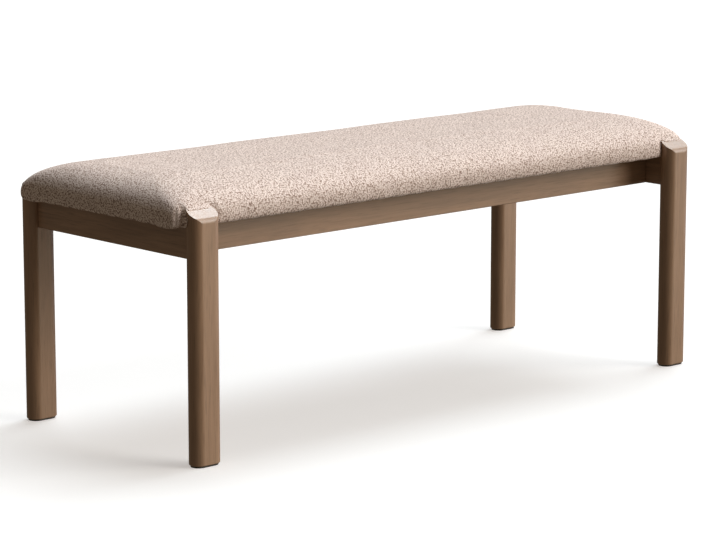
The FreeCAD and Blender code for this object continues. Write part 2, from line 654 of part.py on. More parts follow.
def corner_block_screws():
    """Four countersunk screws in each corner block, two into each rail, at staggered heights."""
    body = new_body("corner_block_screws")
    low = f"{BLOCK_BOTTOM} + {BLOCK_SCREW_LOW}"
    rail_x, rail_y = f"-{END_RAIL_INNER_X}", f"-{LONG_RAIL_INNER_Y}"
    beside_x, beside_y = f"{rail_x} + Sizes.block_screw_inset", f"{rail_y} + Sizes.block_screw_inset"
    profile = new_sketch(body, "XZ_Plane", f"{rail_x} - Sizes.block_screw_bite", low, f"-({beside_y})")
    lying_screw(profile, BLOCK_SCREW_LENGTH)
    along_x = turned(body, profile, "H_Axis")
    slots_x = cross_recess(body, "YZ_Plane", beside_y, low, f"{rail_x} + Sizes.block_width", False)
    high = f"{low} + Sizes.block_screw_stagger"
    profile = new_sketch(body, "YZ_Plane", f"{rail_y} - Sizes.block_screw_bite", high, beside_x)
    lying_screw(profile, BLOCK_SCREW_LENGTH)
    along_y = turned(body, profile, "H_Axis")
    slots_y = cross_recess(body, "XZ_Plane", beside_x, high, f"-({rail_y} + Sizes.block_width)", True)
    repeat(body, [along_x, *slots_x, along_y, *slots_y], ("YZ_Plane", "XZ_Plane"), "Sizes.block_screw_pitch")
    return body


def bearer_screws():
    """Two countersunk screws up through each bearer into the seat board."""
    body = new_body("bearer_screws")
    profile = new_sketch(body, "XZ_Plane", BEARER_X, BEARER_BOTTOM, f"-{BEARER_SCREW_Y}")
    upright_screw(profile, BEARER_SCREW_LENGTH)
    screw = turned(body, profile, "V_Axis")
    slots = cross_recess(body, "XY_Plane", BEARER_X, BEARER_SCREW_Y, BEARER_BOTTOM, True)
    repeat(body, [screw, *slots], ("YZ_Plane", "XZ_Plane"))
    return body


def seat_bolts():
    """Socket-headed bolts up through the corner blocks into the tee nuts."""
    body = new_body("seat_bolts")
    head_bottom = f"{BLOCK_BOTTOM} - Sizes.washer_thickness - Sizes.bolt_head_height"
    tip = f"{BOARD_TOP} - Sizes.bolt_end_gap - ({head_bottom})"
    head, shank = "Sizes.bolt_head_diameter / 2", "Sizes.bolt_diameter / 2"
    profile = new_sketch(body, "XZ_Plane", BOLT_X, head_bottom, f"-{BOLT_Y}")
    polygon(profile, [("0", "0"), (head, "0"), (head, "Sizes.bolt_head_height"),
                      (shank, "Sizes.bolt_head_height"), (shank, tip), ("0", tip)])
    bolt = turned(body, profile, "V_Axis")
    socket = new_sketch(body, "XY_Plane", BOLT_X, BOLT_Y, head_bottom)
    hexagon(socket, "Sizes.bolt_socket_width")
    key_hole = pocket(body, socket, "Sizes.bolt_socket_depth", reverse=True)
    repeat(body, [bolt, key_hole], ("YZ_Plane", "XZ_Plane"))
    return body


def seat_bolt_washers():
    """Washers between the bolt heads and the corner blocks."""
    body = new_body("seat_bolt_washers")
    profile = new_sketch(body, "XZ_Plane", BOLT_X, f"{BLOCK_BOTTOM} - Sizes.washer_thickness", f"-{BOLT_Y}")
    inner, outer = f"(Sizes.bolt_diameter + {FIT_HOLE}) / 2", "Sizes.washer_diameter / 2"
    polygon(profile, [(inner, "0"), (outer, "0"), (outer, "Sizes.washer_thickness"),
                      (inner, "Sizes.washer_thickness")])
    repeat(body, [turned(body, profile, "V_Axis")], ("YZ_Plane", "XZ_Plane"))
    return body


def seat_tee_nuts():
    """Tee nuts pressed into the seat board from above, flange flush with its top."""
    body = new_body("seat_tee_nuts")
    length = "Sizes.tee_nut_barrel_length"
    flange = f"{length} + Sizes.tee_nut_flange_thickness"
    profile = new_sketch(body, "XZ_Plane", BOLT_X, f"{BOARD_TOP} - ({flange})", f"-{BOLT_Y}")
    inner = f"(Sizes.bolt_diameter + {FIT_HOLE}) / 2"
    barrel, rim = "Sizes.tee_nut_barrel_diameter / 2", "Sizes.tee_nut_flange_diameter / 2"
    polygon(profile, [(inner, "0"), (barrel, "0"), (barrel, length), (rim, length), (rim, flange),
                      (inner, flange)])
    repeat(body, [turned(body, profile, "V_Axis")], ("YZ_Plane", "XZ_Plane"))
    return body


def seat_board():
    """Plywood board with tee nut seats from above and pilot holes for the bearer screws below."""
    body = new_body("seat_board")
    outline = new_sketch(body, "XY_Plane", z=BOARD_BOTTOM)
    rounded_rectangle(outline, BOARD_LENGTH, BOARD_DEPTH, "Sizes.board_corner_radius")
    pad(body, outline, "Sizes.board_thickness")
    barrel = new_sketch(body, "XY_Plane", BOLT_X, BOLT_Y, BOARD_TOP)
    circle(barrel, f"Sizes.tee_nut_barrel_diameter + {FIT_HOLE}")
    flange = new_sketch(body, "XY_Plane", BOLT_X, BOLT_Y, BOARD_TOP)
    circle(flange, f"Sizes.tee_nut_flange_diameter + {FIT_HOLE}")
    pilot = new_sketch(body, "XY_Plane", BEARER_X, BEARER_SCREW_Y, BOARD_BOTTOM)
    circle(pilot, f"Sizes.screw_diameter + {FIT_HOLE}")
    holes = [pocket(body, barrel, "Sizes.board_thickness"),
             pocket(body, flange, "Sizes.tee_nut_flange_thickness"),
             pocket(body, pilot, "Sizes.bearer_screw_bite + Sizes.hole_end_gap", reverse=True)]
    repeat(body, holes, ("YZ_Plane", "XZ_Plane"))
    return body


def dust_cover():
    """Cloth between the board and the rails, inside the cover's hem, pierced by the fasteners."""
    body = new_body("dust_cover")
    edge = "2 * (Sizes.hem_width + Sizes.soft_gap)"
    outline = new_sketch(body, "XY_Plane", z="Sizes.rail_top")
    rounded_rectangle(outline, f"{PAD_BASE_LENGTH} - {edge}", f"{PAD_BASE_DEPTH} - {edge}",
                      "Sizes.board_corner_radius")
    pad(body, outline, "Sizes.cover_thickness")
    bolt = new_sketch(body, "XY_Plane", BOLT_X, BOLT_Y, "Sizes.rail_top")
    circle(bolt, "Sizes.bolt_diameter + 2 * Sizes.soft_gap")
    screw = new_sketch(body, "XY_Plane", BEARER_X, BEARER_SCREW_Y, "Sizes.rail_top")
    circle(screw, "Sizes.screw_diameter + 2 * Sizes.soft_gap")
    holes = [pocket(body, bolt, "Sizes.cover_thickness", reverse=True),
             pocket(body, screw, "Sizes.cover_thickness", reverse=True)]
    repeat(body, holes, ("YZ_Plane", "XZ_Plane"))
    return body


def cushion_form(label, inset, base):
    """The cushion's outer form made smaller by an inset, cut flat at a base height.

    It is a loft through round-cornered rectangles. From the base the sides swell out as a
    quarter ellipse to the bulge, and from there they roll in as a superellipse to a flat crown.
    """
    body = new_body(label)
    bulge = f"({BOARD_BOTTOM} + Sizes.pad_bulge_height)"
    base_length, base_depth = f"({PAD_BASE_LENGTH} - 2 * {inset})", f"({PAD_BASE_DEPTH} - 2 * {inset})"
    sections = []
    for share in TUCK_STEPS:
        swollen = f"2 * sqrt(1 - {share} ^ 2)"
        sections.append((f"{base_length} + Sizes.pad_end_bulge * {swollen}",
                         f"{base_depth} + Sizes.pad_side_bulge * {swollen}",
                         f"Sizes.pad_corner_radius - {inset}",
                         f"{bulge} - {share} * ({bulge} - {base})"))
    length, depth = f"({base_length} + 2 * Sizes.pad_end_bulge)", f"({base_depth} + 2 * Sizes.pad_side_bulge)"
    for share in ROLL_STEPS:
        end_roll = f"Sizes.pad_end_roll * (1 - (1 - {share} ^ 2) ^ (1 / Sizes.pad_end_power))"
        side_roll = f"Sizes.pad_side_roll * (1 - (1 - {share} ^ 2) ^ (1 / Sizes.pad_side_power))"
        sections.append((f"{length} - 2 * {end_roll}", f"{depth} - 2 * {side_roll}",
                         f"Sizes.pad_corner_radius - {inset} + {share} * Sizes.pad_crown_corner_growth",
                         f"{bulge} + {share} * (Sizes.pad_rise - {inset})"))
    sketches = []
    for width, height, radius, level in sections:
        section = new_sketch(body, "XY_Plane", z=level)
        rounded_rectangle(section, width, height, radius)
        sketches.append(section)
    loft = feature(body, "AdditiveLoft", sketches[0])
    loft.Sections = [(section, [""]) for section in sketches[1:]]
    loft.Ruled = False
    doc.recompute()
    return body


def foam_form(label, clearance="0"):
    """A slab with round corners and well-rounded upper edges, standing on the board."""
    body = new_body(label)
    grown = f"2 * {clearance}"
    outline = new_sketch(body, "XY_Plane", z=f"{BOARD_TOP} + Sizes.soft_gap - {clearance}")
    rounded_rectangle(outline, f"{FOAM_LENGTH} + {grown}", f"{FOAM_DEPTH} + {grown}",
                      f"Sizes.foam_corner_radius + {clearance}")
    block = pad(body, outline, f"Sizes.foam_height + {grown}")
    top = block.Shape.BoundBox.ZMax
    ease_edges(body, "Fillet", f"Sizes.foam_edge_radius + {clearance}",
               lambda edge: all(abs(vertex.Z - top) < 0.001 for vertex in edge.Vertexes))
    return body


def board_form(label, clearance):
    """The board's outline grown by a clearance, to be cut from what wraps round it."""
    body = new_body(label)
    outline = new_sketch(body, "XY_Plane", z=f"{BOARD_BOTTOM} - {clearance}")
    rounded_rectangle(outline, f"{BOARD_LENGTH} + 2 * {clearance}", f"{BOARD_DEPTH} + 2 * {clearance}",
                      f"Sizes.board_corner_radius + {clearance}")
    pad(body, outline, f"Sizes.board_thickness + 2 * {clearance}")
    return body


def hem_opening(label):
    """The opening that the turned hem leaves under the board."""
    body = new_body(label)
    outline = new_sketch(body, "XY_Plane", z=f"{BOARD_BOTTOM} - {CUT_MARGIN}")
    rounded_rectangle(outline, f"{PAD_BASE_LENGTH} - 2 * Sizes.hem_width",
                      f"{PAD_BASE_DEPTH} - 2 * Sizes.hem_width", "Sizes.board_corner_radius")
    pad(body, outline, f"{CUT_MARGIN} + Sizes.board_thickness / 2")
    return body


def leg_room(label, clearance):
    """The four legs' forms grown by a clearance, joined as one cutting shape."""
    forms = []
    for index, (x, y, turn) in enumerate(LEG_PLACES.values()):
        form = leg_blank(f"{label}_{index}", clearance)
        place(form, x, y, "Sizes.glide_thickness", turn)
        forms.append(form)
    joined = doc.addObject("Part::MultiFuse", label)
    joined.Shapes = forms
    doc.recompute()
    return joined


def cut(label, base, tool):
    """What is left of one piece when another's form is taken out of it."""
    item = doc.addObject("Part::Cut", label)
    item.Label = label
    item.Base = base
    item.Tool = tool
    item.Refine = False
    doc.recompute()
    return item


def seat_cover():
    """The tweed cover: a skin over the cushion's form, notched round the legs, hemmed under the board."""
    under = f"({BOARD_BOTTOM} - Sizes.cover_thickness)"
    outside = cut("cover_outside", cushion_form("cover_outer_form", "0", under),
                  leg_room("cover_leg_room", "Sizes.leg_to_seat_gap"))
    inside = cut("cover_inside", cushion_form("cover_inner_form", "Sizes.cover_thickness", BOARD_BOTTOM),
                 leg_room("cavity_leg_room", "(Sizes.leg_to_seat_gap + Sizes.cover_thickness)"))
    shell = cut("cover_shell", outside, inside)
    return cut("seat_cover", shell, hem_opening("cover_hem_opening"))


def seat_wadding():
    """The soft layer between the cover and the foam, wrapped down round the board's edge."""
    skin = "(Sizes.cover_thickness + Sizes.soft_gap)"
    outside = cut("wadding_outside", cushion_form("wadding_form", skin, BOARD_BOTTOM),
                  leg_room("wadding_leg_room", f"(Sizes.leg_to_seat_gap + {skin})"))
    hollow = cut("wadding_hollow", outside, foam_form("wadding_foam_room", "Sizes.soft_gap"))
    return cut("seat_wadding", hollow, board_form("wadding_board_room", "Sizes.soft_gap"))


LEG_PLACES = {
    "front_left": (f"-{LEG_X}", f"-{LEG_Y}", 180),
    "front_right": (LEG_X, f"-{LEG_Y}", 180),
    "back_left": (f"-{LEG_X}", LEG_Y, 0),
    "back_right": (LEG_X, LEG_Y, 0),
}

pieces = []
for corner, (corner_x, corner_y, corner_turn) in LEG_PLACES.items():
    pieces.append(leg(f"{corner}_leg", corner_x, corner_y, corner_turn))
    pieces.append(glide(f"{corner}_glide", corner_x, corner_y))
pieces.append(glide_nails())

pieces.append(long_rail("front_rail", f"-{LONG_RAIL_Y}", 180))
pieces.append(long_rail("back_rail", LONG_RAIL_Y, 0))
pieces.append(end_rail("left_end_rail", f"-{LEG_X}", 180))
pieces.append(end_rail("right_end_rail", LEG_X, 0))
pieces.append(bearer("left_bearer", f"-{BEARER_X}"))
pieces.append(bearer("right_bearer", BEARER_X))

front_left_block = corner_block("front_left_corner_block")
front_right_block = mirrored("front_right_corner_block", front_left_block, FreeCAD.Vector(1, 0, 0))
back_left_block = mirrored("back_left_corner_block", front_left_block, FreeCAD.Vector(0, 1, 0))
back_right_block = mirrored("back_right_corner_block", front_right_block, FreeCAD.Vector(0, 1, 0))
pieces += [front_left_block, front_right_block, back_left_block, back_right_block]

pieces.append(dowel_group("leg_dowels", "YZ_Plane",
                          f"{LEG_INNER_Y} - Sizes.dowel_length + Sizes.dowel_depth_in_leg",
                          f"{RAIL_MIDDLE} - Sizes.rail_dowel_pitch / 2", LEG_X, "Sizes.rail_dowel_pitch"))
pieces.append(dowel_group("rail_dowels", "XZ_Plane",
                          f"{END_RAIL_INNER_X} - Sizes.dowel_length + Sizes.dowel_depth_in_rail",
                          f"{RAIL_MIDDLE} - Sizes.rail_dowel_pitch / 2", f"-{LONG_RAIL_Y}",
                          "Sizes.rail_dowel_pitch"))
pieces.append(dowel_group("bearer_dowels", "YZ_Plane",
                          f"{LONG_RAIL_INNER_Y} - Sizes.dowel_length + Sizes.dowel_depth_in_rail",
                          f"{BEARER_BOTTOM} + (Sizes.bearer_height - Sizes.bearer_dowel_pitch) / 2",
                          BEARER_X, "Sizes.bearer_dowel_pitch"))
pieces += [corner_block_screws(), bearer_screws(), seat_bolts(), seat_bolt_washers(), seat_tee_nuts()]

pieces += [seat_board(), dust_cover(), foam_form("seat_foam"), seat_wadding(), seat_cover()]
doc.recompute()

for item in doc.Objects:
    if {"Invalid", "Error"} & set(item.State):
        raise RuntimeError(f"{item.Label} did not recompute: {item.State}")
for piece in pieces:
    if piece.Shape.isNull() or not piece.Shape.isValid():
        raise RuntimeError(f"{piece.Label} has no valid shape")

os.makedirs("parts", exist_ok=True)
for piece in pieces:
    piece.Shape.exportStep(f"parts/{piece.Label}.step")
    box = piece.Shape.BoundBox
    print(f"{piece.Label}: {len(piece.Shape.Solids)} solid(s), {piece.Shape.Volume / 1000:.1f} cm3,"
          f" X {box.XMin:.1f} to {box.XMax:.1f}, Y {box.YMin:.1f} to {box.YMax:.1f},"
          f" Z {box.ZMin:.1f} to {box.ZMax:.1f}")
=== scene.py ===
import math

import bpy
import numpy as np
from mathutils import Matrix, Vector


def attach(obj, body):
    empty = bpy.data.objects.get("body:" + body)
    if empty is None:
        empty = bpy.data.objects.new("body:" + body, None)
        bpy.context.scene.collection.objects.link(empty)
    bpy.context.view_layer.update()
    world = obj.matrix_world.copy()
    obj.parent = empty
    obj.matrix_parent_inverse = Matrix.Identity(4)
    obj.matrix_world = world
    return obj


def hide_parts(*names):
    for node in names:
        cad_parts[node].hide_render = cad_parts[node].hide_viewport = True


# Upholstered bench, in metres: +Z is up, the front faces -Y, and the floor is Z = 0.

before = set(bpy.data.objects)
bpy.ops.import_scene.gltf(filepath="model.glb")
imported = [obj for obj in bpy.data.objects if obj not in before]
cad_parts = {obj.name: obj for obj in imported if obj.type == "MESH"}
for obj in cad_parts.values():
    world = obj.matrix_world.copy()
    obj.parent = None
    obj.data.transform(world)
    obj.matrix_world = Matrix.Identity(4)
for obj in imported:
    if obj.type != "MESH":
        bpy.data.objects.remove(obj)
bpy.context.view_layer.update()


# Mesh helpers

def read_vectors(mesh, kind):
    """The vertex vectors of a mesh as an array, either its places or its normals."""
    flat = np.empty(len(mesh.vertices) * 3)
    mesh.vertices.foreach_get(kind, flat)
    return flat.reshape(-1, 3)


def read_points(mesh):
    """The vertices of a mesh as an array."""
    return read_vectors(mesh, "co")


def read_normals(mesh):
    """The vertex normals of a mesh as an array."""
    return read_vectors(mesh, "normal")


def write_points(mesh, points):
    """Puts an array back as the vertices of a mesh."""
    mesh.vertices.foreach_set("co", points.astype(np.float32).ravel())
    mesh.update()


def make_piece(name, points, faces, material, slot):
    """A smooth mesh piece from arrays of points and faces, already in its place."""
    mesh = bpy.data.meshes.new(name)
    mesh.from_pydata(points.tolist(), [], [tuple(face) for face in faces.tolist()])
    mesh.polygons.foreach_set("use_smooth", np.full(len(mesh.polygons), True))
    mesh.materials.append(material)
    mesh.update()
    piece = bpy.data.objects.new(name, mesh)
    bpy.context.scene.collection.objects.link(piece)
    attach(piece, "root")
    return piece


def apply_modifiers(piece):
    """Replaces a piece's mesh by what its modifiers make of it."""
    bpy.context.view_layer.update()
    graph = bpy.context.evaluated_depsgraph_get()
    mesh = bpy.data.meshes.new_from_object(piece.evaluated_get(graph))
    piece.modifiers.clear()
    old, piece.data = piece.data, mesh
    bpy.data.meshes.remove(old)


def tube_faces(rows, columns):
    """Quads of a grid of rows whose columns close round."""
    row, column = np.meshgrid(np.arange(rows - 1), np.arange(columns), indexing="ij")
    after = (column + 1) % columns
    a, b = row * columns + column, row * columns + after
    return np.stack([a, b, b + columns, a + columns], axis=-1).reshape(-1, 4)


def sheet_faces(rows, columns):
    """Quads of an open grid of rows and columns, facing up."""
    row, column = np.meshgrid(np.arange(rows - 1), np.arange(columns - 1), indexing="ij")
    a = row * columns + column
    return np.stack([a, a + 1, a + columns + 1, a + columns], axis=-1).reshape(-1, 4)


def rise(value, start, length):
    """Climbs evenly from 0 at the start to 1 a length further on."""
    return np.clip((value - start) / length, 0, 1)


def bell(distance, width):
    """A bell curve: e to the power of minus the square of the distance over the width."""
    return np.exp(-(distance / width) ** 2)


# The frame's legs: the middle of the back right one, half sizes, and the height and slope of the tops.
# The sides give the signs of X and Y at each of the four.
LEG_X, LEG_Y = 0.600, 0.235
LEG_HALF_WIDTH, LEG_HALF_DEPTH = 0.030, 0.0175
LEG_TOP, LEG_SLOPE = 0.455, math.radians(32)
LEG_SIDES = ((-1, -1), (-1, 1), (1, -1), (1, 1))

# The cushion's heights, and half sizes of its base
BASE_Z, BULGE_Z, CROWN_Z = 0.4176, 0.4352, 0.4876
BASE_HALF_LENGTH, BASE_HALF_DEPTH = 0.644, 0.217

# How far its ends and long sides swell out from the base and roll in on top, and how round they are
END_BULGE, SIDE_BULGE = 0.007, 0.017
END_ROLL, SIDE_ROLL = 0.082, 0.150
END_POWER, SIDE_POWER = 2.2, 2.4
HEM_POWER = 6.0
CORNER_RADIUS, CORNER_GROWTH = 0.020, 0.030

# The skin that is blown up: a little smaller round the sides, a little higher at the crown
SKIN_INSET, SKIN_LIFT = 0.0003, 0.0005
SKIN_PITCH = 0.006
SWELL_LIMIT = 0.0018

# The upright axis of a corner of the cushion, and the creases round it: each has an angle from the
# end's direction, a half width in radians and a depth
FOLD_X, FOLD_Y = 0.629, 0.203
FOLDS = ((math.radians(8), 0.17, 0.0010), (math.radians(44), 0.13, 0.0020))

# How far the cover stays from a leg, dips round its top, and where it ends on the sloping top,
# counted from the leg's middle towards the seat
LEG_GAP, LEG_DIP, COVER_EDGE = 0.0008, 0.0018, 0.0060


# Cushion form

def outline(half_length, half_depth, radius):
    """Points round a rectangle with round corners.

    Each corner is a quarter circle about its centre, as many steps as each straight side, which is
    filled in evenly from the end of one corner to the start of the next.
    """
    part = np.linspace(0, 1, 60, endpoint=False)[:, None]
    corners = np.array([(1, -1), (1, 1), (-1, 1), (-1, -1)])
    centres = corners * (half_length - radius, half_depth - radius)
    points = []
    for index, centre in enumerate(centres):
        angle = -np.pi / 2 + index * np.pi / 2 + part * np.pi / 2
        points.append(centre + radius * np.hstack([np.cos(angle), np.sin(angle)]))
        turned = np.pi / 2 * index
        out = radius * np.array([np.cos(turned), np.sin(turned)])
        points.append(centre + out + part * (centres[(index + 1) % 4] - centre))
    return np.concatenate(points)


def hem_swell(share):
    """How much of the bulge is left at a depth share below it: (1 - share ^ power) ^ (1 / power)."""
    return (1 - share ** HEM_POWER) ** (1 / HEM_POWER)


def roll_inset(share, roll, power):
    """How far a roll is in at a height share: its width times 1 - (1 - share ^ 2) ^ (1 / power)."""
    return roll * (1 - (1 - share * share) ** (1 / power))


def cushion_surface():
    """Points and faces of the cushion's skin, rings from the middle of the base to that of the crown.

    A ring is a rectangle with round corners. Below the bulge the hem's swell draws it in, so the
    cover comes down upright and turns in tightly. Above the bulge it is in by the inset of its roll.
    The first and last rings shrink the base and the crown evenly to their middles.
    """
    rings = []
    for share in (1.0, 0.99, 0.96, 0.9, 0.8, 0.65, 0.5, 0.25):
        swell = hem_swell(share)
        rings.append((BASE_HALF_LENGTH + END_BULGE * swell, BASE_HALF_DEPTH + SIDE_BULGE * swell,
                      CORNER_RADIUS, BULGE_Z - share * (BULGE_Z - BASE_Z)))
    for share in np.sin(np.linspace(0, np.pi / 2, 26)):
        rings.append((BASE_HALF_LENGTH + END_BULGE - roll_inset(share, END_ROLL, END_POWER),
                      BASE_HALF_DEPTH + SIDE_BULGE - roll_inset(share, SIDE_ROLL, SIDE_POWER),
                      CORNER_RADIUS + share * CORNER_GROWTH,
                      BULGE_Z + share * (CROWN_Z + SKIN_LIFT - BULGE_Z)))
    loops = []
    for half_length, half_depth, radius, level in rings:
        loop = outline(half_length - SKIN_INSET, half_depth - SKIN_INSET, radius)
        loops.append(np.column_stack([loop, np.full(len(loop), level)]))
    base = [loops[0] * (part, part, 1) for part in np.linspace(0, 0.95, 20)]
    crown = [loops[-1] * (part, part, 1) for part in np.linspace(0.9, 0, 10)]
    loops = base + loops + crown
    return np.concatenate(loops), tube_faces(len(loops), len(loops[0]))


def remeshed(piece):
    """Replaces a piece's mesh by an even skin."""
    skin = piece.modifiers.new("skin", "REMESH")
    skin.mode = "VOXEL"
    skin.voxel_size = SKIN_PITCH
    skin.use_smooth_shade = True
    apply_modifiers(piece)


def hold_down(piece, heights):
    """A group that holds the cover fast up to the bulge, and less and less up to where it is free."""
    free_z, levels = 0.475, 10
    held = piece.vertex_groups.new(name="held")
    hold = np.round(levels * np.clip((free_z - heights) / (free_z - BULGE_Z), 0, 1))
    for level in range(1, levels + 1):
        held.add(np.nonzero(hold == level)[0].tolist(), level / levels, "REPLACE")
    return held.name


def swollen(piece):
    """Blows the piece up as cloth, and lets no point move further than the limit.

    The cover is held where it is pulled down and stapled. The foam under it bears it: of a movement
    inwards along the normal, only a tenth is kept.
    """
    inward_kept, frames = 0.1, 20
    start, outward = read_points(piece.data), read_normals(piece.data)
    held = hold_down(piece, start[:, 2])
    cloth = piece.modifiers.new("cloth", "CLOTH")
    cloth.settings.vertex_group_mass = held
    cloth.settings.use_pressure = True
    cloth.settings.uniform_pressure_force = 4.0
    cloth.settings.effector_weights.gravity = 0.0
    cloth.settings.quality = 5
    cloth.settings.mass = 0.3
    cloth.settings.tension_stiffness = 80
    cloth.settings.compression_stiffness = 80
    cloth.settings.shear_stiffness = 80
    cloth.settings.bending_stiffness = 0.5
    for number in range(1, frames + 1):
        bpy.context.scene.frame_set(number)
    graph = bpy.context.evaluated_depsgraph_get()
    moved = read_points(piece.evaluated_get(graph).data)
    piece.modifiers.clear()
    piece.vertex_groups.clear()
    bpy.context.scene.frame_set(1)
    step = moved - start
    inwards = np.minimum(np.sum(step * outward, axis=1, keepdims=True), 0)
    step -= (1 - inward_kept) * inwards * outward
    length = np.linalg.norm(step, axis=1, keepdims=True)
    write_points(piece.data, start + step * np.minimum(1, SWELL_LIMIT / np.maximum(length, 1e-9)))


def facing_long_side(normals):
    """How much each normal faces the front or the back and not an end, from 0 to 1."""
    square = normals[:, :2] ** 2
    return square[:, 1] / np.maximum(square.sum(axis=1), 1e-6)


def hand_pulled(points, normals):
    """Gives the cushion the small unevenness of a cover that is pulled over foam and stapled by hand.

    Along the lower edge the cover goes in and out as a cosine with one period between staples, and
    that fades away from the edge as a bell curve. Above the bulge the cover has two broad shallow
    waves, each the product of two sines.
    """
    staple_gap, staple_pull = 0.047, 0.00045
    x, y, z = points.T
    along = np.where(facing_long_side(normals) > 0.5, x, y)
    pull = staple_pull * np.cos(2 * np.pi * along / staple_gap + 1.3 * np.sin(along * 9))
    pull *= bell(z - (BASE_Z + 0.006), 0.014)
    waves = 0.0006 * np.sin(2 * np.pi * x / 0.37 + 0.8) * np.sin(2 * np.pi * y / 0.29 + 0.4)
    waves += 0.0004 * np.sin(2 * np.pi * x / 0.17 + 2.1 + 3 * y) * np.sin(2 * np.pi * (y + z) / 0.21)
    return points + normals * (pull + waves * rise(z, BULGE_Z - 0.01, 0.02))[:, None]


def draw_in_beside_leg(moved, sx, sy, low):
    """Draws the long side in at one leg, and lets the lower edge outside the leg hang a little.

    Outside the leg it stands back by an even depth and, close to the leg, by a bell in the distance
    from the leg's side. At the back it does so by a small share, and inside the leg by a bell alone.
    """
    depth, depth_at_leg, near_leg = 0.0100, 0.005, 0.006
    back_share = 0.2
    inner_depth, near_inner_side = 0.005, 0.009
    hang_depth, hang_top, hang_fade = 0.0034, 0.421, 0.016
    outer_gap = moved[:, 0] * sx - (LEG_X + LEG_HALF_WIDTH)
    inner_gap = np.maximum(LEG_X - LEG_HALF_WIDTH - moved[:, 0] * sx, 0)
    front = moved[:, 1] * sy - FOLD_Y
    outside = rise(outer_gap, -0.005, 0.005) * rise(front, -0.024, 0.024)
    share = 1.0 if sy < 0 else back_share
    moved[:, 1] -= sy * share * outside * low * (depth + depth_at_leg * bell(outer_gap, near_leg))
    inside = (outer_gap < -LEG_HALF_WIDTH) * rise(front, -0.012, 0.012)
    moved[:, 1] -= sy * inside * low * inner_depth * bell(inner_gap, near_inner_side)
    hang = rise(outer_gap, 0.0024, 0.006) * bell(front + 0.006, 0.028)
    moved[:, 2] -= hang_depth * hang * (1 - rise(moved[:, 2], hang_top, hang_fade))


def crease_corner(moved, sx, sy, low):
    """Presses the creases into one corner, each a narrow bell in the angle round the corner's axis.

    They rise to their full depth over the first 12 mm from that axis, and stay on its outer side.
    """
    out, front = moved[:, 0] * sx - FOLD_X, moved[:, 1] * sy - FOLD_Y
    angle, reach = np.arctan2(front, out), np.hypot(front, out)
    here = (out > -0.004) & (front > -0.02) & (moved[:, 2] > BASE_Z - 0.003)
    crease = sum(depth * bell(angle - centre, width) for centre, width, depth in FOLDS)
    inward = crease * low * here * rise(reach, 0, 0.012)
    moved[:, 0] -= sx * inward * np.cos(angle)
    moved[:, 1] -= sy * inward * np.sin(angle)


def gathered(points):
    """Gathers the cover at its four corners, which fades out upwards as the smooth step 3 t^2 - 2 t^3."""
    low_z, fade = 0.436, 0.030
    low = 1 - rise(points[:, 2], low_z, fade)
    low = low * low * (3 - 2 * low)
    moved = points.copy()
    for sx, sy in LEG_SIDES:
        draw_in_beside_leg(moved, sx, sy, low)
        crease_corner(moved, sx, sy, low)
    return moved


def clear_of_leg(moved, normals, sx, sy):
    """Draws the cover down round one leg's top and moves it out of the leg, grown by the gap.

    A leg's section is a stadium: the distance to it is the distance to its middle line less its
    radius. The cover dips along its normals by a bell in that distance. What is still in the leg
    then moves the shorter of two ways: straight out of the section, or up through the sloping top.
    On the sloping top it draws back along the slope until only the back strip is covered.
    """
    dip_reach, dip_half_width, dip_from_z = 0.012, 0.040, 0.445
    straight = LEG_HALF_WIDTH - LEG_HALF_DEPTH
    slope = np.array([-math.sin(LEG_SLOPE), math.cos(LEG_SLOPE)])
    across, inward = moved[:, 0] * sx - LEG_X, LEG_Y - moved[:, 1] * sy
    near = np.hypot(across - np.clip(across, -straight, straight), inward) - LEG_HALF_DEPTH
    behind = 1 - rise(np.abs(across), 0, dip_half_width)
    dip = LEG_DIP * bell(np.maximum(near, 0), dip_reach) * np.sqrt(behind)
    moved -= normals * (dip * (moved[:, 2] > dip_from_z))[:, None]
    across, inward = moved[:, 0] * sx - LEG_X, LEG_Y - moved[:, 1] * sy
    radial = np.stack([across - np.clip(across, -straight, straight), inward], axis=1)
    reach = np.linalg.norm(radial, axis=1)
    unit = radial / np.maximum(reach, 1e-9)[:, None]
    side = reach - LEG_HALF_DEPTH - LEG_GAP
    over = (inward - LEG_HALF_DEPTH) * slope[0] + (moved[:, 2] - LEG_TOP) * slope[1] - LEG_GAP
    up = (side < 0) & (over < 0) & (over > side)
    out = (side < 0) & (over < 0) & ~up
    moved[out, 0] -= sx * side[out] * unit[out, 0]
    moved[out, 1] += sy * side[out] * unit[out, 1]
    moved[up, 1] += sy * over[up] * slope[0]
    moved[up, 2] -= over[up] * slope[1]
    short = np.maximum(COVER_EDGE - (LEG_Y - moved[:, 1] * sy), 0) * ((side < 0) & ~out)
    moved[:, 1] -= sy * short
    moved[:, 2] += short * math.tan(LEG_SLOPE)


def pressed_by_legs(points, normals):
    """Fits the cover round the tops of the four legs."""
    moved = points.copy()
    for sx, sy in LEG_SIDES:
        clear_of_leg(moved, normals, sx, sy)
    return moved


def thread_surplus(heights, roll, power, bulge):
    """How much further the threads run over one side, at each height, than straight sideways.

    It is the path length from the crown's edge, summed along the roll's and the hem's own curves,
    less the way covered sideways.
    """
    share = np.sin(np.linspace(np.pi / 2, 0, 200))
    below = np.linspace(0, 1, 60)[1:]
    roll_in = roll * (1 - share ** 2) ** (1 / power)
    hem_in = roll - bulge + bulge * hem_swell(below)
    sideways = np.concatenate([roll_in, hem_in])
    level = np.concatenate([BULGE_Z + share * (CROWN_Z - BULGE_Z), BULGE_Z - below * (BULGE_Z - BASE_Z)])
    path = np.concatenate([[0], np.cumsum(np.hypot(np.diff(sideways), np.diff(level)))])
    return np.interp(-heights, -level, path - sideways)


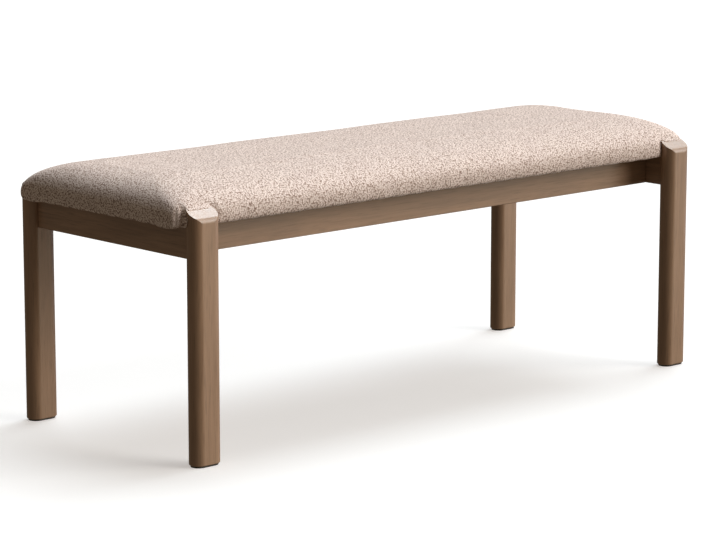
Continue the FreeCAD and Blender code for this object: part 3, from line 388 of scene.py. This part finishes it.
def thread_lines(points, normals):
    """Where each point lies along the threads of the cover, in metres.

    Over the top the threads run along X and Y. Past the rolls they go on down, so the surplus of
    the end is added along X and that of the long side along Y, as much as the normal faces it.
    """
    x, y, z = points.T
    side = facing_long_side(normals)
    along = x + np.sign(x) * thread_surplus(z, END_ROLL, END_POWER, END_BULGE) * (1 - side)
    across = y + np.sign(y) * thread_surplus(z, SIDE_ROLL, SIDE_POWER, SIDE_BULGE) * side
    return np.column_stack([along, across, np.zeros(len(points))])


# Materials

# The numbered sockets of a Mix node that mixes colours
MIX_SHARE, MIX_FIRST, MIX_SECOND, MIX_RESULT = 0, 6, 7, 2


class Finish:
    """A material being made: its shader, and helpers that add and join its nodes."""

    def __init__(self, name):
        self.material = bpy.data.materials.new(name)
        self.material.use_nodes = True
        self.nodes = self.material.node_tree.nodes
        self.join = self.material.node_tree.links.new
        self.shader = self.nodes["Principled BSDF"]

    def add(self, kind, **settings):
        """A node with its settings, each a socket's value or a setting of the node itself."""
        node = self.nodes.new(kind)
        for key, value in settings.items():
            if key in node.inputs:
                node.inputs[key].default_value = value
            else:
                setattr(node, key, value)
        return node

    def object_place(self):
        """The place on the object."""
        return self.add("ShaderNodeTexCoord").outputs["Object"]

    def scaled(self, place, scale):
        """A place scaled along each axis, so that a pattern on it is drawn out where the scale is small."""
        mapping = self.add("ShaderNodeMapping", Scale=scale)
        self.join(place, mapping.inputs["Vector"])
        return mapping.outputs["Vector"]

    def noise(self, place, **settings):
        """Soft noise, from 0 to 1."""
        node = self.add("ShaderNodeTexNoise", **settings)
        self.join(place, node.inputs["Vector"])
        return node.outputs["Fac"]

    def cells(self, place, **settings):
        """Cells about scattered points: the distance to the nearest point, and a colour for each cell."""
        node = self.add("ShaderNodeTexVoronoi", **settings)
        self.join(place, node.inputs["Vector"])
        return node.outputs["Distance"], node.outputs["Color"]

    def ramp(self, value, stops):
        """A colour that follows a value through stops, each a position and a colour or a grey."""
        node = self.add("ShaderNodeValToRGB")
        elements = node.color_ramp.elements
        while len(elements) < len(stops):
            elements.new(0.5)
        for element, (position, colour) in zip(elements, stops):
            element.position = position
            element.color = (*np.broadcast_to(colour, 3), 1)
        self.join(value, node.inputs["Fac"])
        return node.outputs["Color"]

    def product(self, *colours):
        """The product of colours."""
        result = colours[0]
        for colour in colours[1:]:
            mix = self.add("ShaderNodeMix", data_type="RGBA", blend_type="MULTIPLY")
            mix.inputs[MIX_SHARE].default_value = 1.0
            self.join(result, mix.inputs[MIX_FIRST])
            self.join(colour, mix.inputs[MIX_SECOND])
            result = mix.outputs[MIX_RESULT]
        return result

    def relief(self, height, under=None, **settings):
        """The normal of a surface raised by a height, over the relief under it if there is one."""
        node = self.add("ShaderNodeBump", **settings)
        self.join(height, node.inputs["Height"])
        if under is not None:
            self.join(under, node.inputs["Normal"])
        return node.outputs["Normal"]

    def connect(self, colour, roughness=None, normal=None):
        """Joins what varies over the surface to the shader."""
        self.join(colour, self.shader.inputs["Base Color"])
        if roughness is not None:
            self.join(roughness, self.shader.inputs["Roughness"])
        if normal is not None:
            self.join(normal, self.shader.inputs["Normal"])


def stained_wood(name, stretch, contrast):
    """Satin bronze-brown stain: fine streaks and pores drawn out along the piece, under soft lacquer.

    The streaks run from a dark to a light tone, each the middle tone plus the contrast times its
    distance from it.
    """
    finish = Finish(name)
    place = finish.object_place()
    grain = finish.scaled(place, stretch)
    streaks = finish.noise(grain, Scale=1.0, Detail=6.0, Roughness=0.6, Distortion=0.4)
    fine_grain = finish.scaled(place, tuple(5 * part for part in stretch))
    pores = finish.noise(fine_grain, Scale=1.0, Detail=3.0, Roughness=0.5)
    cloud = finish.noise(place, Scale=7.0, Detail=2.0)
    middle = np.array((0.390, 0.233, 0.141))
    dark = middle + contrast * (np.array((0.297, 0.170, 0.098)) - middle)
    light = middle + contrast * (np.array((0.466, 0.287, 0.180)) - middle)
    colour = finish.product(finish.ramp(streaks, [(0.28, dark), (0.50, middle), (0.74, light)]),
                            finish.ramp(pores, [(0.30, 0.80), (0.45, 1.0), (0.75, 1.05)]),
                            finish.ramp(cloud, [(0.3, 0.93), (0.7, 1.05)]))
    finish.connect(colour, roughness=finish.ramp(streaks, [(0.3, 0.30), (0.7, 0.38)]),
                   normal=finish.relief(streaks, Strength=0.12, Distance=0.0004))
    finish.shader.inputs["Specular IOR Level"].default_value = 0.75
    return finish.material


def raw_wood(name, light, dark, stretch):
    """Unfinished wood: growth streaks along the piece and short dark pores."""
    finish = Finish(name)
    grain = finish.scaled(finish.object_place(), stretch)
    streaks = finish.noise(grain, Scale=1.0, Detail=5.0, Roughness=0.55, Distortion=0.6)
    flecks, _ = finish.cells(grain, Scale=4.0)
    colour = finish.product(finish.ramp(streaks, [(0.3, dark), (0.65, light)]),
                            finish.ramp(flecks, [(0.04, 0.72), (0.14, 1.0)]))
    finish.connect(colour, normal=finish.relief(streaks, Strength=0.3, Distance=0.0003))
    finish.shader.inputs["Roughness"].default_value = 0.72
    return finish.material


def tweed():
    """Cream and brown tweed: knots of yarn some three millimetres apart, darker in the pits between them,
    partly brown yarn and partly painted shade.

    Knots and pits follow the threads of the cover. Each knot has its own tone, one in ten is brown,
    and a finer layer of twisted yarn runs over them.
    """
    finish = Finish("tweed")
    threads = finish.add("ShaderNodeAttribute", attribute_name="threads").outputs["Vector"]
    pits, knots = finish.cells(threads, voronoi_dimensions="2D", Scale=310.0, Randomness=0.85)
    yarn, _ = finish.cells(threads, voronoi_dimensions="2D", Scale=700.0, Randomness=0.9)
    clouds = finish.noise(threads, Scale=19.0, Detail=4.0, Roughness=0.6)
    # Darker further from each knot's middle: partly brown yarn in the pits, partly painted shade where the
    # pits are deep.
    depth = finish.ramp(pits, [(0.12, (0.97, 0.825, 0.755)), (0.36, (0.91, 0.755, 0.675)),
                               (0.50, (0.715, 0.55, 0.475)), (0.66, (0.38, 0.26, 0.21))])
    tone = finish.ramp(knots, [(0.05, (0.50, 0.43, 0.39)), (0.15, (0.80, 0.765, 0.745)),
                               (0.42, 1.0), (0.75, (1.10, 1.11, 1.12))])
    twist = finish.ramp(yarn, [(0.15, 1.05), (0.60, 0.86)])
    shade = finish.ramp(clouds, [(0.30, (0.965, 0.955, 0.96)), (0.70, (1.03, 1.035, 1.03))])
    coarse = finish.relief(pits, Strength=0.42, Distance=0.0008, invert=True)
    finish.connect(finish.product(depth, tone, twist, shade),
                   roughness=finish.ramp(pits, [(0.1, 0.88), (0.6, 1.0)]),
                   normal=finish.relief(yarn, under=coarse, Strength=0.35, Distance=0.0004, invert=True))
    finish.shader.inputs["Specular IOR Level"].default_value = 0.12
    finish.shader.inputs["Sheen Weight"].default_value = 0.08
    finish.shader.inputs["Sheen Roughness"].default_value = 0.6
    return finish.material


def lining_cloth():
    """Black spun lining: a pressed pattern of small points with faint fibres."""
    finish = Finish("lining_cloth")
    place = finish.object_place()
    points, _ = finish.cells(place, Scale=420.0, Randomness=0.15)
    fibres = finish.noise(place, Scale=240.0, Detail=4.0)
    finish.connect(finish.ramp(fibres, [(0.3, (0.012, 0.012, 0.014)), (0.7, (0.045, 0.045, 0.05))]),
                   normal=finish.relief(points, Strength=0.5, Distance=0.0003))
    finish.shader.inputs["Roughness"].default_value = 0.9
    return finish.material


def zinc_steel():
    """Zinc-plated steel: patchy grey, shinier in some patches than in others."""
    finish = Finish("zinc_steel")
    patches = finish.noise(finish.object_place(), Scale=300.0, Detail=4.0)
    finish.connect(finish.ramp(patches, [(0.35, (0.42, 0.43, 0.45)), (0.7, (0.66, 0.67, 0.69))]),
                   roughness=finish.ramp(patches, [(0.3, 0.28), (0.7, 0.45)]))
    finish.shader.inputs["Metallic"].default_value = 1.0
    return finish.material


def glide_plastic():
    """Dark moulded plastic with a fine spark-eroded grain."""
    finish = Finish("glide_plastic")
    grain = finish.noise(finish.object_place(), Scale=900.0, Detail=2.0)
    finish.connect(finish.ramp(grain, [(0.3, (0.030, 0.026, 0.022)), (0.7, (0.055, 0.048, 0.042))]),
                   normal=finish.relief(grain, Strength=0.3, Distance=0.0002))
    finish.shader.inputs["Roughness"].default_value = 0.6
    return finish.material


def dress(material, *nodes):
    """Gives CAD nodes a material."""
    for node in nodes:
        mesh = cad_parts[node].data
        mesh.materials.clear()
        mesh.materials.append(material)


def dress_frame():
    """Stained wood outside, with the grain along each piece, and raw wood, steel and plastic inside."""
    corners = ("front_left", "front_right", "back_left", "back_right")
    along, across_grain = 5, 90
    upright = (across_grain, across_grain, along)
    dress(stained_wood("stained_hardwood_upright", upright, 0.55), *(f"{corner}_leg" for corner in corners))
    lengthwise = (along, across_grain, across_grain)
    dress(stained_wood("stained_hardwood_lengthwise", lengthwise, 1.0), "front_rail", "back_rail")
    crosswise = (across_grain, along, across_grain)
    dress(stained_wood("stained_hardwood_crosswise", crosswise, 1.0), "left_end_rail", "right_end_rail")
    dress(raw_wood("beech", (0.66, 0.49, 0.33), (0.52, 0.37, 0.24), (120, 14, 120)),
          "left_bearer", "right_bearer")
    dress(raw_wood("block_beech", (0.66, 0.49, 0.33), (0.50, 0.35, 0.22), (120, 120, 14)),
          *(f"{corner}_corner_block" for corner in corners))
    dress(raw_wood("dowel_beech", (0.72, 0.57, 0.40), (0.62, 0.47, 0.31), (90, 90, 90)),
          "leg_dowels", "rail_dowels", "bearer_dowels")
    dress(raw_wood("plywood", (0.64, 0.50, 0.35), (0.50, 0.37, 0.25), (16, 120, 700)), "seat_board")
    dress(zinc_steel(), "corner_block_screws", "bearer_screws", "seat_bolts", "seat_bolt_washers",
          "seat_tee_nuts", "glide_nails")
    dress(glide_plastic(), *(f"{corner}_glide" for corner in corners))


# Soft pieces

def make_cushion():
    """Cushion: a pad form blown up as cloth, then pulled, gathered and fitted round the legs."""
    cover_cloth = tweed()
    cushion = make_piece("cushion", *cushion_surface(), cover_cloth, "tweed")
    remeshed(cushion)
    swollen(cushion)
    finer = cushion.modifiers.new("finer", "SUBSURF")
    finer.levels = finer.render_levels = 1
    apply_modifiers(cushion)
    cover = cushion.data
    cover.materials.clear()
    cover.materials.append(cover_cloth)
    points, normals = read_points(cover), read_normals(cover)
    threads = thread_lines(points, normals)
    write_points(cover, pressed_by_legs(gathered(hand_pulled(points, normals)), normals))
    cover.attributes.new("threads", "FLOAT_VECTOR", "POINT").data.foreach_set("vector", threads.ravel())
    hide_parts("seat_cover", "seat_wadding", "seat_foam")


def make_lining():
    """Lining: a flat sheet under the seat board, faces down, with a wall as thick as the cloth."""
    lining_x, lining_y, lining_z = 0.628, 0.201, 0.41725
    columns, rows = np.linspace(-lining_x, lining_x, 160), np.linspace(-lining_y, lining_y, 60)
    y, x = np.meshgrid(rows, columns, indexing="ij")
    points = np.stack([x, y, np.full_like(x, lining_z)], axis=-1).reshape(-1, 3)
    facing_down = sheet_faces(len(rows), len(columns))[:, ::-1]
    lining = make_piece("lining", points, facing_down, lining_cloth(), "lining_cloth")
    thick = lining.modifiers.new("thick", "SOLIDIFY")
    thick.thickness = 0.0004
    thick.offset = 0
    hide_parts("dust_cover")


# Studio

def make_floor():
    """A pale floor that takes the shadows and lights nothing itself."""
    reach = 60.0
    mesh = bpy.data.meshes.new("floor")
    mesh.from_pydata([(-reach, -reach, 0), (reach, -reach, 0), (reach, reach, 0), (-reach, reach, 0)], [],
                     [(0, 1, 2, 3)])
    finish = Finish("studio_floor")
    finish.shader.inputs["Base Color"].default_value = (0.66, 0.66, 0.66, 1)
    finish.shader.inputs["Emission Color"].default_value = (1.0, 0.95, 0.915, 1)
    finish.shader.inputs["Emission Strength"].default_value = 0.46
    finish.shader.inputs["Roughness"].default_value = 1.0
    finish.shader.inputs["Specular IOR Level"].default_value = 0.0
    mesh.materials.append(finish.material)
    floor = bpy.data.objects.new("floor", mesh)
    bpy.context.scene.collection.objects.link(floor)
    floor.visible_diffuse = False
    floor.visible_glossy = False


def sun(name, turn, height, share, spread, colour):
    """A soft light from far away, turned from the front to the right and raised, both in degrees.

    Its share is how much of white it gives a surface that faces it, and its spread how wide it is.
    """
    light = bpy.data.lights.new(name, "SUN")
    light.energy = share * math.pi
    light.angle = math.radians(spread)
    light.color = colour
    lamp = bpy.data.objects.new(name, light)
    bpy.context.scene.collection.objects.link(lamp)
    turn, height = math.radians(turn), math.radians(height)
    towards = Vector((math.sin(turn) * math.cos(height), -math.cos(turn) * math.cos(height),
                      math.sin(height)))
    lamp.rotation_euler = towards.to_track_quat("Z", "Y").to_euler()


def make_lights():
    """Soft lights from the right and above, and a dim warm light from all round."""
    sun("key", 40, 30, 0.475, 40, (0.985, 1.0, 1.0))
    sun("low", 40, 8, 0.28, 40, (1.0, 0.90, 0.74))
    sun("side", 75, 10, 0.19, 40, (0.80, 0.88, 1.0))
    sun("top", 118, 63, 0.54, 38, (0.90, 0.98, 1.04))
    sun("bridge", 74, 42, 0.06, 30, (0.93, 0.99, 1.0))
    sun("glare", 104, 48, 0.20, 24, (0.90, 0.98, 1.02))
    world = bpy.data.worlds.new("studio")
    bpy.context.scene.world = world
    world.use_nodes = True
    world.node_tree.nodes["Background"].inputs["Color"].default_value = (1.0, 0.86, 0.67, 1)
    world.node_tree.nodes["Background"].inputs["Strength"].default_value = 0.12


def make_camera():
    """The photo's camera: its place, its turn to the right from straight ahead, and its tilt down."""
    place, turn, tilt = (-3.840, -4.180, 1.3076), 0.7396, 0.1869
    focal_pixels, picture_width, sensor_width = 3037.1, 716, 36.0
    data = bpy.data.cameras.new("camera")
    data.sensor_width = sensor_width
    data.sensor_fit = "HORIZONTAL"
    data.lens = focal_pixels / picture_width * sensor_width
    data.clip_end = 200.0
    camera = bpy.data.objects.new("camera", data)
    bpy.context.scene.collection.objects.link(camera)
    forward = Vector((math.sin(turn) * math.cos(tilt), math.cos(turn) * math.cos(tilt), -math.sin(tilt)))
    right = forward.cross(Vector((0, 0, 1))).normalized()
    up = right.cross(forward)
    axes = Matrix((right, up, -forward)).transposed().to_4x4()
    camera.matrix_world = Matrix.Translation(place) @ axes
    bpy.context.scene.camera = camera


dress_frame()
make_cushion()
make_lining()
make_floor()
make_lights()
make_camera()
bpy.context.scene.view_settings.view_transform = "Standard"
